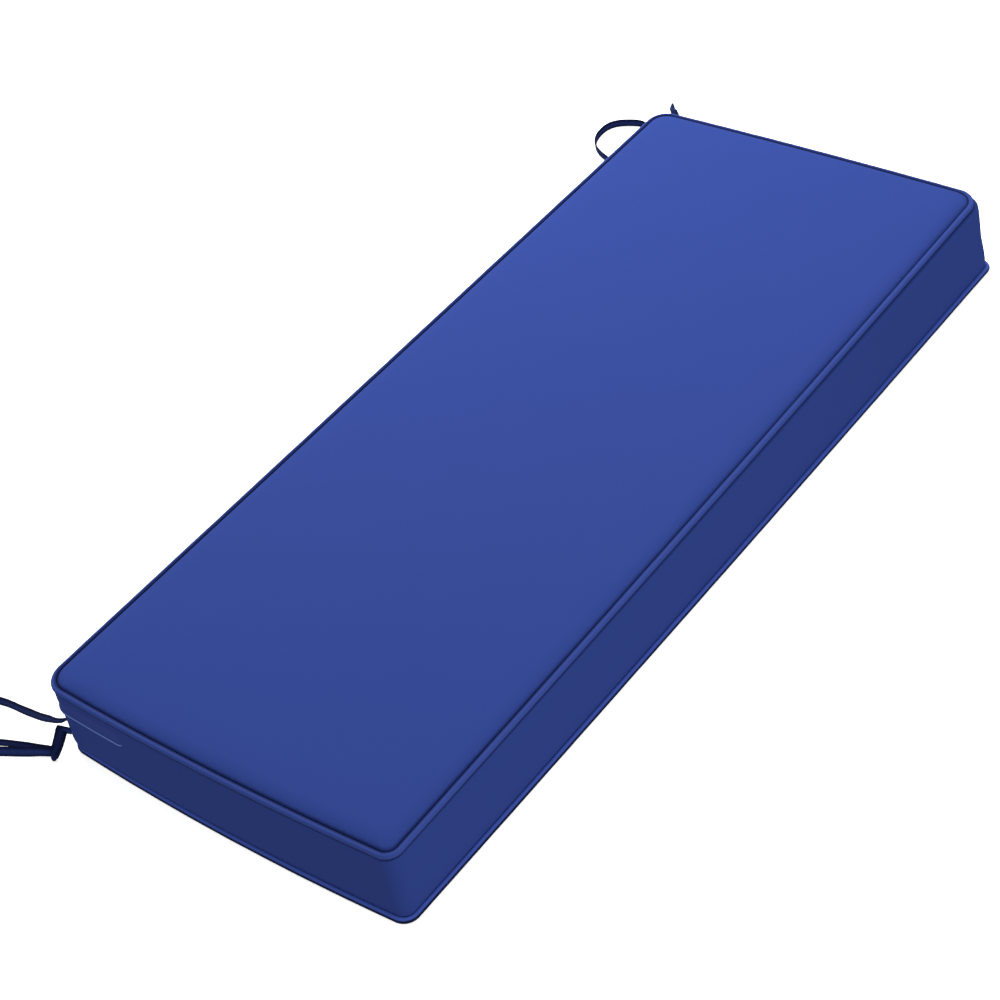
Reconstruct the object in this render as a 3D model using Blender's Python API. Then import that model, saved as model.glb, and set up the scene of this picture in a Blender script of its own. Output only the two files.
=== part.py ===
"""Boxed bench cushion with piped edges, a zip flap and tape ties at its two rear corners.

Metres, +Z up. The cushion lies on its back at z = 0, its length along X and its rear side, with
the ties, towards +Y. The origin is the middle of the cushion's footprint.
"""

import math

import bmesh
import bpy
import numpy as np
from mathutils import Matrix, Vector

MM = 0.001

# Driving sizes
LENGTH = 1.220  # between the seams of the two short ends
WIDTH = 0.502  # between the seams of the two long sides
GAP = 0.0003  # between pieces that touch
PIPING_RADIUS = 0.00385
BOTTOM_SEAM = PIPING_RADIUS + GAP  # height of the bottom piping's middle
TOP_SEAM = 0.1087  # height of the top piping's middle
GROOVE = PIPING_RADIUS + 0.35 * MM  # radius of the hollow in which the piping lies

ZIP_LINE = 0.0740  # height of the flap's folded lower edge
ZIP_FLAP_HEIGHT = 0.022
ZIP_FLAP_THICKNESS = 0.0012
ZIP_FLAP_END = 0.1345  # y at which the flap ends on both short ends
ZIP_FLAP_CLEARANCE = 0.0005  # from the boxing behind it
ZIP_FLAP_SWELLS = (0.60, 0.08)  # shares of the boxing's swells behind the flap
BOXING_OUT = 0.0030  # how far the boxing stands out from the seam line behind the flap

TAPE_WIDTH = 0.012
TAPE_THICKNESS = 0.0018
TAPE_STEP = 0.010  # between two sections of a tape

CORNER_STEPS = 6
LONG_STEPS = 16
SHORT_STEPS = 10
SOFTENING_START = 0.004  # inset at which the outline's corners begin to open out
SOFTENING = 1.5  # radius gained for each millimetre of inset from there
WIDEST_CORNER = 0.85  # of half the outline's width

CLOTH = (0.045, 0.082, 0.345, 1.0)
CLOTH_ROUGHNESS = 0.85
PIPING_ROUGHNESS = 0.8
TAPE = (0.012, 0.020, 0.085, 1.0)
TAPE_ROUGHNESS = 0.85

# Corners, anticlockwise from above: side of the middle, how far the seam's corner stands from the
# plain rectangle in mm, and its radius in mm, at the top and at the bottom seam. The swells are how
# far in mm the filling pushes the boxing's corner out along X and Y, high up and low down.
CORNERS = (
    # name, x side, y side, top dx, top dy, top radius, bottom dx, bottom dy, bottom radius, swells
    ("rear_left", -1, 1, 0.1, 0.9, 28.5, 3.7, 1.6, 22.0, 0.0, 3.4),
    ("front_left", -1, -1, 2.1, 0.0, 15.5, 1.2, 2.3, 15.5, 0.0, 0.0),
    ("front_right", 1, -1, 0.2, 8.1, 28.0, 2.5, -4.3, 13.0, 4.4, 0.0),
    ("rear_right", 1, 1, 1.6, 0.5, 24.0, 3.2, 2.9, 18.0, 0.0, 0.0),
)

NO_SWELL = (0.0, 0.0)

# Sides in the same order: outward direction, bow of the seam in mm at the top and at the bottom.
SIDES = (
    # name, x, y, top bow, bottom bow
    ("left_end", -1, 0, 5.3, 6.9),
    ("front", 0, -1, 1.9, 1.6),
    ("right_end", 1, 0, 2.3, 1.5),
    ("rear", 0, 1, 0.0, 0.0),
)

# Sections of the filled body from its base up: seam or fraction of the height between the seams,
# inset from the seam line and rise above it, in mm.
BASE_ROWS = (
    ("base edge", 14.0, -BOTTOM_SEAM / MM),
    ("base roll", 7.5, -3.3),
)
BOTTOM_GROOVE_ANGLES = (212, 180, 143, 108)  # degrees round the piping from straight out
BOXING_ROWS = (
    # name, fraction, drawn in mm, share of the high swell, share of the low swell
    ("foot", 0.07, 0.1, 0.0, 0.5),
    ("lower", 0.17, -0.8, 0.0, 0.68),
    ("middle", 0.45, -1.6, 0.16, 0.3),
    ("upper", 0.65, -2.4, 0.36, 0.1),
    ("bulge", 0.82, -2.9, 0.62, 0.0),
    ("rim", 0.925, -2.75, 0.8, 0.0),
)
TOP_GROOVE_ANGLES = (-58, -88, -118, -150, 180, 152)
PANEL_ROWS = (
    # name, inset mm, rise mm
    ("seam roll", 5.4, 3.9),
    ("shoulder", 8.6, 6.0),
    ("shoulder top", 14.0, 7.8),
    ("edge of face", 24.0, 9.0),
    ("face", 48.0, 10.0),
    ("inner face", 110.0, 10.8),
    ("crown", 190.0, 11.2),
    ("middle", 236.0, 11.3),
)

# Routes of the ties' middle lines in mm, from where each tape leaves the seam or its knot.
TAPE_ROUTES = {
    "tie_left_single": (
        (-606.0, 246.5, 50.0),
        (-607.5, 248.2, 50.0),
        (-609.6, 253.0, 48.8),
        (-610.6, 265.0, 45.0),
        (-609.7, 281.0, 38.0),
        (-606.0, 304.7, 26.5),
        (-602.4, 328.2, 16.5),
        (-600.0, 349.3, 9.6),
        (-599.4, 365.1, 7.0),
        (-601.6, 381.5, 6.4),
        (-607.5, 402.0, 6.4),
        (-619.0, 425.0, 6.4),
        (-638.0, 444.0, 6.4),
        (-664.0, 456.0, 6.4),
        (-694.0, 458.0, 6.4),
        (-722.0, 450.0, 6.4),
    ),
    "tie_left_neck": (
        (-608.8, 243.4, 35.4),
        (-609.3, 244.9, 35.7),
        (-609.9, 246.3, 35.9),
        (-610.5, 247.8, 36.0),
    ),
    "tie_left_back": (
        (-626.1, 263.3, 9.9),
        (-626.6, 268.0, 8.6),
        (-627.9, 275.7, 7.0),
        (-630.6, 285.0, 6.4),
        (-634.7, 297.6, 6.4),
        (-639.2, 309.8, 6.4),
        (-643.8, 322.0, 6.4),
        (-647.9, 331.7, 6.4),
        (-657.0, 347.0, 6.4),
        (-672.0, 366.0, 6.4),
        (-693.0, 383.0, 6.4),
        (-720.0, 394.0, 6.4),
        (-750.0, 396.0, 6.4),
        (-779.0, 389.0, 6.4),
    ),
    "tie_left_front": (
        (-628.9, 263.6, 7.8),
        (-630.7, 269.5, 6.7),
        (-634.5, 277.9, 6.4),
        (-640.5, 288.5, 6.4),
        (-646.3, 299.2, 6.4),
        (-652.0, 310.0, 6.4),
        (-657.8, 321.2, 6.4),
        (-668.0, 336.0, 6.4),
        (-684.0, 350.0, 6.4),
        (-706.0, 360.0, 6.4),
        (-734.0, 363.0, 6.4),
        (-762.0, 356.0, 6.4),
        (-786.0, 341.0, 6.4),
    ),
    "tie_right_loop": (
        (609.6, 247.9, 50.0),
        (613.0, 251.0, 49.9),
        (624.0, 261.5, 44.5),
        (644.0, 282.0, 30.0),
        (666.0, 305.0, 15.5),
        (684.0, 325.0, 8.2),
        (697.0, 342.5, 6.4),
        (702.6, 360.0, 6.4),
        (698.0, 378.0, 6.4),
        (690.0, 392.5, 6.4),
        (679.0, 401.2, 6.4),
        (663.2, 403.9, 6.4),
        (646.2, 401.0, 6.4),
        (633.5, 394.5, 6.4),
        (622.6, 384.2, 6.4),
        (614.4, 371.2, 6.4),
        (607.6, 355.6, 6.4),
        (600.5, 338.0, 6.4),
        (590.0, 322.0, 6.4),
    ),
    "tie_right_strand": (
        (613.4, 242.6, 33.9),
        (616.8, 244.2, 33.2),
        (630.0, 250.5, 27.0),
        (652.0, 262.0, 15.5),
        (676.0, 276.0, 8.2),
        (700.0, 291.5, 6.4),
        (719.0, 305.0, 6.4),
        (730.0, 314.4, 6.6),
        (736.4, 320.4, 7.0),
    ),
    "tie_right_end": (
        (749.0, 334.6, 6.8),
        (752.2, 338.2, 6.4),
        (756.6, 342.6, 6.4),
        (761.2, 347.0, 6.4),
    ),
}

# Knots: middle, tip of the long axis from the middle, and half size across, all in mm.
KNOTS = {
    "knot_left": ((-621.5, 254.8, 19.9), (-11.9, 2.0, -17.2), 7.0),
    "knot_right": ((742.8, 327.6, 7.8), (5.6, 6.6, -0.4), 7.0),
}
KNOT_WAIST = 0.16  # how far the wound tapes pull in between their turns, of the half size
KNOT_TURNS = 2
KNOT_SEGMENTS = 14

# Between two faces that meet more steeply than this the shading breaks.
SHARP_ANGLE = math.radians(50)


def cleared_collection(name):
    """An empty collection for the parts, with every earlier object removed."""
    for old in list(bpy.data.objects):
        bpy.data.objects.remove(old, do_unlink=True)
    collection = bpy.data.collections.new(name)
    bpy.context.scene.collection.children.link(collection)
    return collection


def make_material(name, colour, roughness):
    material = bpy.data.materials.new(name)
    material.use_nodes = True
    shader = material.node_tree.nodes["Principled BSDF"]
    shader.inputs["Base Color"].default_value = colour
    shader.inputs["Roughness"].default_value = roughness
    shader.inputs["Metallic"].default_value = 0.0
    return material


def add_object(name, data, collection, material):
    thing = bpy.data.objects.new(name, data)
    data.materials.append(material)
    collection.objects.link(thing)
    return thing


def mix(low, high, fraction):
    return low + (high - low) * fraction


def seam_height(fraction):
    return mix(BOTTOM_SEAM, TOP_SEAM, fraction)


def corner_at(row, fraction, inset, swell_shares):
    """Corner of the outline at a fraction of the height, moved in by inset, and its radius."""
    _, x_side, y_side, top_dx, top_dy, top_radius, low_dx, low_dy, low_radius, *swells = row
    swell = np.dot(swells, swell_shares) * MM
    x = x_side * (LENGTH / 2 - inset + swell) + mix(low_dx, top_dx, fraction) * MM
    y = y_side * (WIDTH / 2 - inset + swell) + mix(low_dy, top_dy, fraction) * MM
    # The outline keeps its centre of curvature near the seam and softens further in.
    softened = SOFTENING * max(0.0, inset - SOFTENING_START)
    radius = mix(low_radius, top_radius, fraction) * MM - inset + softened
    return np.array((x, y)), min(radius, (WIDTH / 2 - inset) * WIDEST_CORNER)


def outline(fraction, inset, swell_shares=NO_SWELL):
    """Closed plan outline of the cushion as x, y rows: four bowed sides joined by round corners."""
    points = []
    for index, (_, out_x, out_y, top_bow, low_bow) in enumerate(SIDES):
        start, start_radius = corner_at(CORNERS[index], fraction, inset, swell_shares)
        end, end_radius = corner_at(CORNERS[(index + 1) % 4], fraction, inset, swell_shares)
        after, _ = corner_at(CORNERS[(index + 2) % 4], fraction, inset, swell_shares)
        along = (end - start) / np.linalg.norm(end - start)
        onward = (after - end) / np.linalg.norm(after - end)
        first, last = start + along * start_radius, end - along * end_radius
        steps = LONG_STEPS if out_x == 0 else SHORT_STEPS
        place = np.linspace(-1, 1, steps + 1)[:, None]
        bow = mix(low_bow, top_bow, fraction) * MM * (1 - place**2)
        points.append((first + last) / 2 + place * (last - first) / 2 + bow * np.array((out_x, out_y)))
        turn = np.linspace(0, math.pi / 2, CORNER_STEPS + 1)[1:-1, None]
        middle = end - along * end_radius + onward * end_radius
        points.append(middle + end_radius * (along * np.sin(turn) - onward * np.cos(turn)))
    return np.concatenate(points)


def body_rows():
    """The body's sections from base to crown: fraction, inset, height in metres, swell shares."""
    rows = [(0.0, inset * MM, BOTTOM_SEAM + rise * MM, NO_SWELL) for _, inset, rise in BASE_ROWS]
    for angle in map(math.radians, BOTTOM_GROOVE_ANGLES):
        rows.append((0.0, -GROOVE * math.cos(angle), BOTTOM_SEAM + GROOVE * math.sin(angle), NO_SWELL))
    rows += [(part, drawn * MM, seam_height(part), shares) for _, part, drawn, *shares in BOXING_ROWS]
    for angle in map(math.radians, TOP_GROOVE_ANGLES):
        rows.append((1.0, -GROOVE * math.cos(angle), TOP_SEAM + GROOVE * math.sin(angle), NO_SWELL))
    rows += [(1.0, inset * MM, TOP_SEAM + rise * MM, NO_SWELL) for _, inset, rise in PANEL_ROWS]
    return rows


def make_body(collection, material):
    """The filled cushion: its sections bridged into one skin, closed by the flat base and crown."""
    body = bmesh.new()
    rings = []
    for fraction, inset, height, swell_shares in body_rows():
        ring = [body.verts.new((x, y, height)) for x, y in outline(fraction, inset, swell_shares)]
        edges = [body.edges.new((a, b)) for a, b in zip(ring, ring[1:] + ring[:1])]
        rings.append((ring, edges))
    for (_, lower), (_, upper) in zip(rings, rings[1:]):
        bmesh.ops.bridge_loops(body, edges=lower + upper)
    body.faces.new(reversed(rings[0][0]))
    body.faces.new(rings[-1][0])
    bmesh.ops.recalc_face_normals(body, faces=body.faces)
    mesh = bpy.data.meshes.new("cushion_body")
    body.to_mesh(mesh)
    body.free()
    mesh.shade_smooth()
    mesh.set_sharp_from_angle(angle=SHARP_ANGLE)
    return add_object("cushion_body", mesh, collection, material)


def make_curve(name, points, cyclic):
    """A curve object's data with one POLY spline through the points."""
    curve = bpy.data.curves.new(name, "CURVE")
    curve.dimensions = "3D"
    curve.twist_mode = "Z_UP"
    curve.fill_mode = "FULL"
    curve.use_fill_caps = True
    spline = curve.splines.new("POLY")
    spline.points.add(len(points) - 1)
    for point, place in zip(spline.points, points):
        point.co = (*place, 1.0)
    spline.use_cyclic_u = cyclic
    return curve


def make_piping(name, fraction, height, collection, material):
    curve = make_curve(name, [(x, y, height) for x, y in outline(fraction, 0.0)], True)
    curve.bevel_depth = PIPING_RADIUS
    curve.bevel_resolution = 3
    return add_object(name, curve, collection, material)


def rear_stretch(points, end_y):
    """The stretch of a closed outline behind y = end_y, cut off there on both short ends."""
    points = np.roll(points, -int(np.argmin(points[:, 1])), axis=0)
    behind = np.flatnonzero(points[:, 1] > end_y)
    ends = []
    for inner, outer in ((behind[0], behind[0] - 1), (behind[-1], behind[-1] + 1)):
        share = (end_y - points[outer, 1]) / (points[inner, 1] - points[outer, 1])
        ends.append(mix(points[outer], points[inner], share))
    return np.vstack((ends[0], points[behind], ends[1]))


def make_zip_flap(collection, material):
    """The folded edge of cloth over the zip: a flat band round the rear, just off the boxing."""
    height = ZIP_LINE + ZIP_FLAP_HEIGHT / 2
    fraction = (height - BOTTOM_SEAM) / (TOP_SEAM - BOTTOM_SEAM)
    boxing = outline(fraction, -BOXING_OUT - ZIP_FLAP_CLEARANCE - ZIP_FLAP_THICKNESS / 2, ZIP_FLAP_SWELLS)
    path = [(x, y, height) for x, y in rear_stretch(boxing, ZIP_FLAP_END)]
    curve = make_curve("zip_flap", path, False)
    curve.bevel_depth = ZIP_FLAP_THICKNESS / 2
    curve.bevel_resolution = 1
    curve.extrude = (ZIP_FLAP_HEIGHT - ZIP_FLAP_THICKNESS) / 2
    return add_object("zip_flap", curve, collection, material)


def smooth_route(points, step):
    """Evenly spaced points along the natural cubic curve through the route's own points."""
    places = np.array(points, float) * MM
    chord = np.concatenate(([0.0], np.cumsum(np.linalg.norm(np.diff(places, axis=0), axis=1))))
    gaps = np.diff(chord)
    count = len(places)
    system = np.eye(count)
    right = np.zeros((count, 3))
    for i in range(1, count - 1):
        system[i, i - 1 : i + 2] = gaps[i - 1], 2 * (gaps[i - 1] + gaps[i]), gaps[i]
        slope_after = (places[i + 1] - places[i]) / gaps[i]
        slope_before = (places[i] - places[i - 1]) / gaps[i - 1]
        right[i] = 6 * (slope_after - slope_before)
    bend = np.linalg.solve(system, right)
    fine = np.linspace(0, chord[-1], 40 * count)
    cell = np.clip(np.searchsorted(chord, fine) - 1, 0, count - 2)
    width = gaps[cell][:, None]
    before = (chord[cell + 1][:, None] - fine[:, None]) / width
    after = 1 - before
    curve = before * places[cell] + after * places[cell + 1]
    curve += ((before**3 - before) * bend[cell] + (after**3 - after) * bend[cell + 1]) * width**2 / 6
    travelled = np.concatenate(([0.0], np.cumsum(np.linalg.norm(np.diff(curve, axis=0), axis=1))))
    stops = np.linspace(0, travelled[-1], max(4, round(travelled[-1] / step) + 1))
    return np.stack([np.interp(stops, travelled, curve[:, axis]) for axis in range(3)], axis=1)


def make_tape(name, route, collection, material):
    """A flat tape on its edge: a curve with its width as extrude and its thickness as bevel."""
    curve = make_curve(name, [tuple(place) for place in smooth_route(route, TAPE_STEP)], False)
    curve.bevel_depth = TAPE_THICKNESS / 2
    curve.bevel_resolution = 1
    curve.extrude = (TAPE_WIDTH - TAPE_THICKNESS) / 2
    return add_object(name, curve, collection, material)


def make_knot(name, middle, tip, half_size, collection, material):
    """A pulled-tight knot: an egg round its long axis, waisted between the turns of tape."""
    axis = Vector(tip)
    knot = bmesh.new()
    segments = KNOT_SEGMENTS
    bmesh.ops.create_uvsphere(knot, u_segments=segments, v_segments=segments, radius=1.0)
    for vert in knot.verts:
        waist = 1 - KNOT_WAIST * math.cos(vert.co.z * KNOT_TURNS * math.pi) ** 2
        vert.co.x *= half_size * waist
        vert.co.y *= half_size * waist
        vert.co.z *= axis.length
    turned = axis.to_track_quat("Z", "Y").to_matrix().to_4x4()
    knot.transform(Matrix.Scale(MM, 4) @ Matrix.Translation(middle) @ turned)
    mesh = bpy.data.meshes.new(name)
    knot.to_mesh(mesh)
    knot.free()
    mesh.shade_smooth()
    return add_object(name, mesh, collection, material)


def main():
    parts = cleared_collection("bench_cushion")
    cloth = make_material("cushion_cloth", CLOTH, CLOTH_ROUGHNESS)
    piping = make_material("piping_cloth", CLOTH, PIPING_ROUGHNESS)
    tape = make_material("tie_tape", TAPE, TAPE_ROUGHNESS)
    make_body(parts, cloth)
    make_piping("top_piping", 1.0, TOP_SEAM, parts, piping)
    make_piping("bottom_piping", 0.0, BOTTOM_SEAM, parts, piping)
    make_zip_flap(parts, cloth)
    for name, route in TAPE_ROUTES.items():
        make_tape(name, route, parts, tape)
    for name, (middle, tip, half_size) in KNOTS.items():
        make_knot(name, middle, tip, half_size, parts, tape)


main()
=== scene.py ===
"""Bench cushion: the looks of a piped, boxed cushion with a zip flap and tape ties.

Laid out as a Blender add-on and run as a script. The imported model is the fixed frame: every piece
here is made in the same metres, +Z up, with the cushion's length along X and its rear towards +Y.
"""

import math

import bmesh
import bpy
import numpy as np
from bpy.props import FloatProperty, FloatVectorProperty, PointerProperty
from mathutils import Matrix, Vector


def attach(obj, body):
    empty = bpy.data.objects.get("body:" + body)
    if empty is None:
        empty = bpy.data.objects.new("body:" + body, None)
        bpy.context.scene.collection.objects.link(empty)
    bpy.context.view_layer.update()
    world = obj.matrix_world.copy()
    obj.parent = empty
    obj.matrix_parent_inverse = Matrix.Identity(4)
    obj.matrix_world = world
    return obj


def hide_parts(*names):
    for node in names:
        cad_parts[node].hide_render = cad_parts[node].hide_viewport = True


bl_info = {
    "name": "Bench Cushion",
    "version": (1, 0, 0),
    "blender": (4, 5, 0),
    "location": "3D View > Sidebar > Cushion",
    "description": "Builds a piped bench cushion with a zip flap and tape ties",
    "category": "Add Mesh",
}

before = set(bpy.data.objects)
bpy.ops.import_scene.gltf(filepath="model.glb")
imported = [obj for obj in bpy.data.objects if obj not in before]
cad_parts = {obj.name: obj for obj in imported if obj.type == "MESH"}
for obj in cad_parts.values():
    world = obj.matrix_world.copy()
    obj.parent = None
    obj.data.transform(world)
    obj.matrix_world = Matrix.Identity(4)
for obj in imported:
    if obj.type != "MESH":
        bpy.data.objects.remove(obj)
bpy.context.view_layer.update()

MM = 0.001
BODY = "root"
TOP, BOTTOM = 1.0, 0.0  # share of the height between the two seams
UP = np.array((0.0, 0.0, 1.0))

# Corners, anticlockwise from above: side of the middle, how far the seam's corner stands from the
# plain rectangle in mm, and its radius in mm, at the top and at the bottom seam. The swells are how
# far in mm the filling pushes the boxing's corner out along X and Y, high up and low down.
CORNERS = (
    # name, x side, y side, top dx, top dy, top radius, bottom dx, bottom dy, bottom radius, swells
    ("rear_left", -1, 1, 0.1, 0.9, 28.5, 3.7, 1.6, 22.0, 0.0, 3.4),
    ("front_left", -1, -1, 2.1, 0.0, 15.5, 1.2, 2.3, 15.5, 0.0, 0.0),
    ("front_right", 1, -1, 0.2, 8.1, 28.0, 2.5, -4.3, 13.0, 4.4, 0.0),
    ("rear_right", 1, 1, 1.6, 0.5, 24.0, 3.2, 2.9, 18.0, 0.0, 0.0),
)
SIDES = (
    # name, out x, out y, bow at the top mm, bow at the bottom mm
    ("left_end", -1, 0, 5.3, 6.9),
    ("front", 0, -1, 1.9, 1.6),
    ("right_end", 1, 0, 2.3, 1.5),
    ("rear", 0, 1, 0.0, 0.0),
)
SOFTENING_START = 0.004  # inset at which the outline's corners begin to open out
SOFTENING = 1.5  # radius gained for each millimetre of inset from there
WIDEST_CORNER = 0.85  # of half the outline's width
SWELL_FADE = (0.012, 0.03)  # share of the height over which the high and the low swell come in

# Sections of the filled cover, in mm: inset from the seam line and height above its seam.
BASE_SECTION = (
    # inset, rise above the bottom seam
    (40.0, -3.9),
    (22.0, -3.9),
    (14.0, -3.85),
    (10.5, -3.7),
    (7.5, -3.3),
    (5.0, -2.6),
)
BOXING_SECTION = (
    # share of the height between the seams, drawn in mm
    (0.17, -0.8),
    (0.45, -1.6),
    (0.65, -2.4),
    (0.82, -2.9),
    (0.92, -2.75),
)
PANEL_SECTION = (
    # inset, rise above the top seam
    (3.62, 1.92),
    (5.4, 3.9),
    (8.6, 6.0),
    (14.0, 7.8),
    (24.0, 9.0),
    (48.0, 10.0),
    (110.0, 10.8),
)
CROWN_RISE = 11.3  # of the panel's middle above the top seam, in mm
BOXING_ROWS = 26  # sections of the boxing, its ends included
PANEL_ROWS = 16
PANEL_CROWDING = 1.7  # power by which the panel's sections crowd towards the seam
PANEL_SWAY = 0.22  # unevenness of the panel in mm
PANEL_WAVES = ((0.31, 0.19, 0.11), (0.23, 0.13, 0.083))  # wave lengths of the two crossed sets, in m
BOXING_SWAY = 0.35  # unevenness of the boxing in mm
BOXING_WAVES = (0.17, 0.097, 0.061)
CLEAR_OF_SEAM = (0.003, 0.006)  # height over the top seam where the panel's sway begins, and its fade
FAR_FROM_SEAM = 0.2  # seam distance that the middle of a panel is given, in m
LAST_RING = 0.056  # inset of the panel's last ring, inside which a grid fills it
BOTTOM_GROOVE_ANGLES = (212, 108)  # degrees round the piping from straight out, first and last
TOP_GROOVE_ANGLES = (-58, -208)
BOTTOM_GROOVE_ROWS, TOP_GROOVE_ROWS = 7, 9
COVER_STEPS = {"long": 180, "short": 74, "corner": 12}
PIPING_STEPS = {"long": 780, "short": 310, "corner": 28}
FLAP_STEPS = {"long": 260, "short": 220, "corner": 20}

# Routes of the ties' middle lines in mm, from where each tape leaves the seam or its knot.
LEFT_SINGLE_ROUTE = (
    (-606.0, 246.5, 50.0),
    (-607.5, 248.2, 50.0),
    (-609.6, 253.0, 48.8),
    (-610.6, 265.0, 45.0),
    (-609.7, 281.0, 38.0),
    (-606.0, 304.7, 26.5),
    (-602.4, 328.2, 16.5),
    (-600.0, 349.3, 9.6),
    (-599.4, 365.1, 7.0),
    (-601.6, 381.5, 6.4),
    (-607.5, 402.0, 6.4),
    (-619.0, 425.0, 6.4),
    (-638.0, 444.0, 6.4),
    (-664.0, 456.0, 6.4),
    (-694.0, 458.0, 6.4),
    (-722.0, 450.0, 6.4),
)
LEFT_NECK_ROUTE = (
    (-608.8, 243.4, 35.4),
    (-609.3, 244.9, 35.7),
    (-609.9, 246.3, 35.9),
    (-610.5, 247.8, 36.0),
)
LEFT_BACK_ROUTE = (
    (-626.1, 263.3, 9.9),
    (-626.6, 268.0, 8.6),
    (-627.9, 275.7, 7.0),
    (-630.6, 285.0, 6.4),
    (-634.7, 297.6, 6.4),
    (-639.2, 309.8, 6.4),
    (-643.8, 322.0, 6.4),
    (-647.9, 331.7, 6.4),
    (-657.0, 347.0, 6.4),
    (-672.0, 366.0, 6.4),
    (-693.0, 383.0, 6.4),
    (-720.0, 394.0, 6.4),
    (-750.0, 396.0, 6.4),
    (-779.0, 389.0, 6.4),
)
LEFT_FRONT_ROUTE = (
    (-628.9, 263.6, 7.8),
    (-630.7, 269.5, 6.7),
    (-634.5, 277.9, 6.4),
    (-640.5, 288.5, 6.4),
    (-646.3, 299.2, 6.4),
    (-652.0, 310.0, 6.4),
    (-657.8, 321.2, 6.4),
    (-668.0, 336.0, 6.4),
    (-684.0, 350.0, 6.4),
    (-706.0, 360.0, 6.4),
    (-734.0, 363.0, 6.4),
    (-762.0, 356.0, 6.4),
    (-786.0, 341.0, 6.4),
)
RIGHT_LOOP_ROUTE = (
    (609.6, 247.9, 50.0),
    (613.0, 251.0, 49.9),
    (624.0, 261.5, 44.5),
    (644.0, 282.0, 30.0),
    (666.0, 305.0, 15.5),
    (684.0, 325.0, 8.2),
    (697.0, 342.5, 6.4),
    (702.6, 360.0, 6.4),
    (698.0, 378.0, 6.4),
    (690.0, 392.5, 6.4),
    (679.0, 401.2, 6.4),
    (663.2, 403.9, 6.4),
    (646.2, 401.0, 6.4),
    (633.5, 394.5, 6.4),
    (622.6, 384.2, 6.4),
    (614.4, 371.2, 6.4),
    (607.6, 355.6, 6.4),
    (600.5, 338.0, 6.4),
    (590.0, 322.0, 6.4),
)
RIGHT_STRAND_ROUTE = (
    (613.4, 242.6, 33.9),
    (616.8, 244.2, 33.2),
    (630.0, 250.5, 27.0),
    (652.0, 262.0, 15.5),
    (676.0, 276.0, 8.2),
    (700.0, 291.5, 6.4),
    (719.0, 305.0, 6.4),
    (730.0, 314.4, 6.6),
    (736.4, 320.4, 7.0),
)
RIGHT_END_ROUTE = (
    (749.0, 334.6, 6.8),
    (752.2, 338.2, 6.4),
    (756.6, 342.6, 6.4),
    (761.2, 347.0, 6.4),
)
LEFT_KNOT_MIDDLE = (-621.5, 254.8, 19.9)
RIGHT_KNOT_MIDDLE = (742.8, 327.6, 7.8)

TIES = (
    # name, route, length m, CAD nodes, turns as (mm from the root, degrees), knot piece
    (
        "left_single",
        LEFT_SINGLE_ROUTE,
        0.312,
        ("tie_left_single",),
        ((0, -31), (10, -15), (20, -1), (52, 8), (82, 15), (400, 12)),
        "",
    ),
    (
        "left_back",
        LEFT_NECK_ROUTE + (LEFT_KNOT_MIDDLE,) + LEFT_BACK_ROUTE,
        0.28,
        ("tie_left_neck", "tie_left_back"),
        ((0, 0), (400, 0)),
        "knot_left_wraps",
    ),
    ("left_front", LEFT_FRONT_ROUTE, 0.213, ("tie_left_front",), ((0, 12), (30, 30), (400, 30)), ""),
    ("right_loop", RIGHT_LOOP_ROUTE, 0.341, ("tie_right_loop",), ((0, 0), (400, 0)), ""),
    (
        "right_strand",
        RIGHT_STRAND_ROUTE + (RIGHT_KNOT_MIDDLE,) + RIGHT_END_ROUTE,
        0.188,
        ("tie_right_strand", "tie_right_end"),
        ((0, 0), (150, 0), (172, 30), (400, 30)),
        "knot_right_wraps",
    ),
)

KNOTS = (
    # name, CAD node, middle, long axis (tip from middle) in mm, half depth mm, turns of tape
    (
        "knot_left_wraps",
        "knot_left",
        LEFT_KNOT_MIDDLE,
        (-12.7, 2.1, -18.3),
        6.2,
        (
            # place along the long axis, length and depth as shares, width mm, lean degrees, taper
            (0.0, 1.0, 1.0, 12.8, 0.0, 0.72),
            (0.2, 0.6, 1.14, 8.0, 14.0, 0.3),
            (0.0, 0.86, 0.66, 10.4, -6.0, 0.6),
            (0.0, 0.7, 0.3, 9.6, 5.0, 0.5),
        ),
    ),
    (
        "knot_right_wraps",
        "knot_right",
        RIGHT_KNOT_MIDDLE,
        (5.6, 6.6, -0.4),
        5.4,
        (
            (0.0, 1.0, 1.0, 8.4, 0.0, 0.3),
            (-0.1, 0.8, 1.1, 5.4, 32.0, 0.2),
            (0.0, 0.8, 0.5, 7.4, -8.0, 0.3),
        ),
    ),
)
KNOT_STEPS = 40
KNOT_FACING = (-0.53, -0.54, 0.66)  # where the broad sides of both knots face


class CushionSizes(bpy.types.PropertyGroup):
    """Sizes of the cushion's cover, piping and zip flap, in metres."""

    length: FloatProperty(
        name="Length", description="Between the seams of the short ends", default=1.220, unit="LENGTH"
    )
    width: FloatProperty(
        name="Width", description="Between the seams of the long sides", default=0.502, unit="LENGTH"
    )
    bottom_seam: FloatProperty(
        name="Bottom seam", description="Height of the bottom piping", default=0.00415, unit="LENGTH"
    )
    top_seam: FloatProperty(
        name="Top seam", description="Height of the top piping", default=0.1087, unit="LENGTH"
    )
    piping_radius: FloatProperty(
        name="Piping radius", description="Half the piping's thickness", default=0.00385, unit="LENGTH"
    )
    groove: FloatProperty(
        name="Groove", description="Radius of the hollow round the piping", default=0.0041, unit="LENGTH"
    )
    zip_line: FloatProperty(
        name="Zip line", description="Height of the flap's folded edge", default=0.0740, unit="LENGTH"
    )
    flap_height: FloatProperty(
        name="Flap height", description="From the fold to the flap's seam", default=0.022, unit="LENGTH"
    )
    flap_end: FloatProperty(
        name="Flap end", description="Y at which the flap ends on both ends", default=0.1345, unit="LENGTH"
    )


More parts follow.
